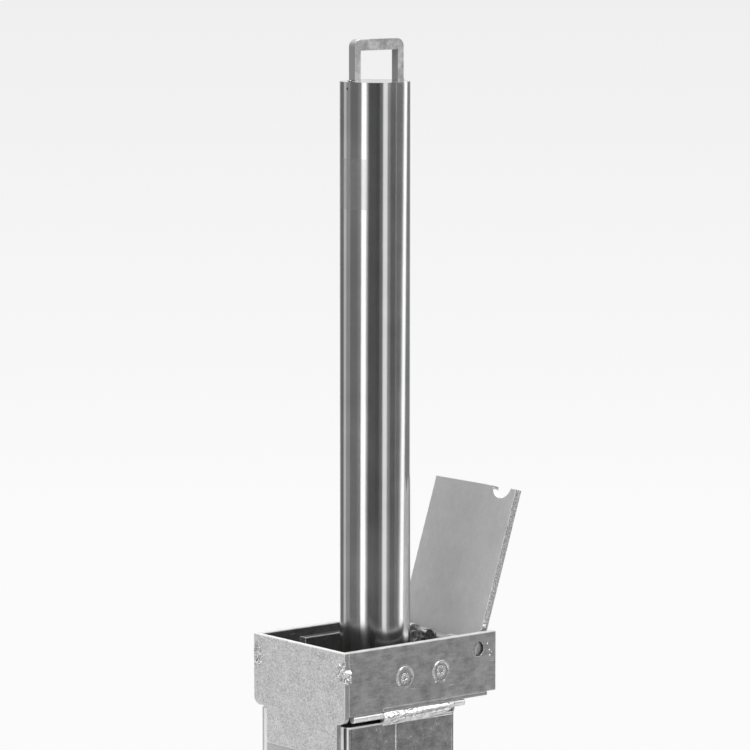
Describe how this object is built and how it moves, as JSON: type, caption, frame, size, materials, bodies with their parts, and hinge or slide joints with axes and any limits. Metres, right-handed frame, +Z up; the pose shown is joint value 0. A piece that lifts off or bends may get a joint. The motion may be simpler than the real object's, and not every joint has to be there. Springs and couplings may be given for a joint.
{
  "type": "telescopic bollard",
  "caption": "Telescopic bollard: round steel post that slides out of a square buried casing, with a flush hinged lid, a lifting loop and a key lock in its ground box.",
  "frame": {"origin": "underside of the casing's base plate, below the post's axis", "axes": "+Z up the post; +X along the ground box towards the lid's hinge; -Y towards the long side with the hinge rod's slotted end in the picture"},
  "size_m": [0.2581, 0.1602, 1.51],
  "materials": {
    "galvanised": "hot-dip galvanised",
    "lid_steel": "dull galvanised",
    "stainless": "ground and polished stainless",
    "inner_steel": "zinc plated",
    "lock_case_black": "black coated",
    "lock_chrome": "bright plated",
    "black_plastic": "moulded",
    "rubber": "moulded"
  },
  "bodies": {
    "casing": {"casing_tube": "galvanised", "casing_base_plate": "galvanised", "base_weld": "galvanised", "base_buffer": "rubber", "end_plate": "galvanised", "near_wall": "galvanised", "far_wall": "galvanised", "floor_plate": "galvanised", "guide_sleeve": "galvanised", "near_packing_bar": "galvanised", "far_packing_bar": "galvanised", "cross_packing_bar": "galvanised", "near_seam_weld": "galvanised", "far_seam_weld": "galvanised", "cross_seam_weld": "galvanised", "corner_welds": "galvanised", "near_lid_rest": "galvanised", "far_lid_rest": "galvanised", "near_plug_welds": "galvanised", "far_plug_welds": "galvanised", "lock_bracket": "galvanised", "lock_pivot_pin": "inner_steel"},
    "post": {"post_tube": "stainless", "post_cap": "stainless", "post_handle": "stainless", "handle_welds": "stainless", "post_foot_plate": "inner_steel"},
    "lid": {"lid_plate": "lid_steel", "hinge_rod": "lid_steel", "hinge_welds": "lid_steel"},
    "lock_arm": {"lock_case": "lock_case_black", "lock_cylinder": "lock_chrome", "lock_bezel": "lock_chrome", "cap_pin": "lock_chrome"},
    "key_plug": {"key_plug": "lock_chrome"},
    "lock_bolt": {"lock_bolt": "inner_steel"},
    "dust_cap": {"dust_cap": "black_plastic"}
  },
  "joints": [
    {"name": "post_slide", "type": "slide", "parent": "casing", "child": "post", "axis": [0, 0, 1], "range_m": [-0.6535, 0]},
    {"name": "lid_hinge", "type": "hinge", "parent": "casing", "child": "lid", "pos_m": [0.08, 0, 0.853], "axis": [0, 1, 0], "range_deg": [-34, 0]},
    {"name": "lock_arm_drop", "type": "hinge", "parent": "casing", "child": "lock_arm", "pos_m": [0.0564, 0.05, 0.828], "axis": [1, 0, 0], "range_deg": [0, 16]},
    {"name": "key_turn", "type": "hinge", "parent": "lock_arm", "child": "key_plug", "pos_m": [0.0564, 0, 0.8592], "axis": [0, -1, 0], "range_deg": [0, 90]},
    {"name": "bolt_slide", "type": "slide", "parent": "lock_arm", "child": "lock_bolt", "axis": [-1, 0, 0], "range_m": [0, 0.0141]},
    {"name": "dust_cap_swing", "type": "hinge", "parent": "lock_arm", "child": "dust_cap", "pos_m": [0.069, 0.0001, 0.8592], "axis": [0, 0, 1], "range_deg": [-90, 0]}
  ],
  "couplings": [
    {"joint": "bolt_slide", "follows": "key_turn", "m_per_rad": 0.008913}
  ]
}
